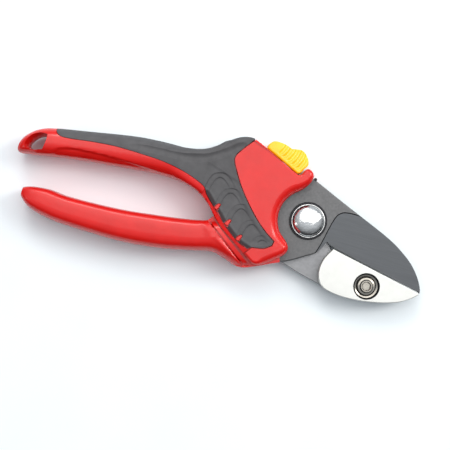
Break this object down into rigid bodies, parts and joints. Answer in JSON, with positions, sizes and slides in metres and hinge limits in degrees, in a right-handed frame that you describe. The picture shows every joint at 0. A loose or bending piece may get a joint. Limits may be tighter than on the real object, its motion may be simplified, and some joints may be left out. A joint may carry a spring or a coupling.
{
  "type": "pruning shears",
  "caption": "Anvil pruning shears: crossing levers with a straight-edged blade closing on a flat anvil, soft grip, thumb lock on the head and a hanging loop.",
  "frame": {"origin": "on the pivot axis, on the pivot nut's flat back face, which lies in the resting plane", "axes": "+X to the tip of the jaws, +Y to the thumb side, +Z along the pivot axis through the front face"},
  "size_m": [0.2209, 0.0732, 0.022],
  "materials": {
    "red_nylon": "moulded glass-filled nylon, satin gloss red",
    "grey_rubber": "soft thermoplastic rubber, matt dark grey",
    "yellow_nylon": "moulded nylon, yellow",
    "blade_steel": "steel with a dark grey non-stick coating",
    "arm_steel": "stamped steel, fine satin",
    "anvil_aluminium": "cast aluminium, fine blasted",
    "screw_steel": "stainless steel",
    "bolt_chrome": "polished chrome-plated steel",
    "washer_steel": "blackened steel",
    "zinc_steel": "zinc-plated steel",
    "spring_steel": "drawn spring steel wire"
  },
  "bodies": {
    "upper": {"upper_handle": "red_nylon", "front_cover": "red_nylon", "soft_grip": "grey_rubber", "anvil_arm": "arm_steel", "anvil": "anvil_aluminium", "anvil_screw": "screw_steel", "cover_screw": "zinc_steel", "body_screw": "zinc_steel", "arm_rivet": "zinc_steel", "pivot_bolt": "bolt_chrome", "pivot_washer": "washer_steel", "pivot_spacer": "zinc_steel", "pivot_nut": "zinc_steel", "return_spring": "spring_steel"},
    "lower": {"lower_handle": "red_nylon", "blade": "blade_steel", "blade_pin_1": "zinc_steel", "blade_pin_2": "zinc_steel"},
    "lock": {"lock_slider": "yellow_nylon", "lock_bar": "zinc_steel"}
  },
  "joints": [
    {"name": "blade_pivot", "type": "hinge", "parent": "upper", "child": "lower", "pos_m": [0, 0, 0.011], "axis": [0, 0, 1], "range_deg": [0, 26], "stiffness_Nm_per_rad": 0.3, "springref_deg": 34.38, "deforming": ["return_spring"]},
    {"name": "lock_slide", "type": "slide", "parent": "upper", "child": "lock", "axis": [-0.9175, 0.3978, 0], "range_m": [0, 0.005]}
  ]
}
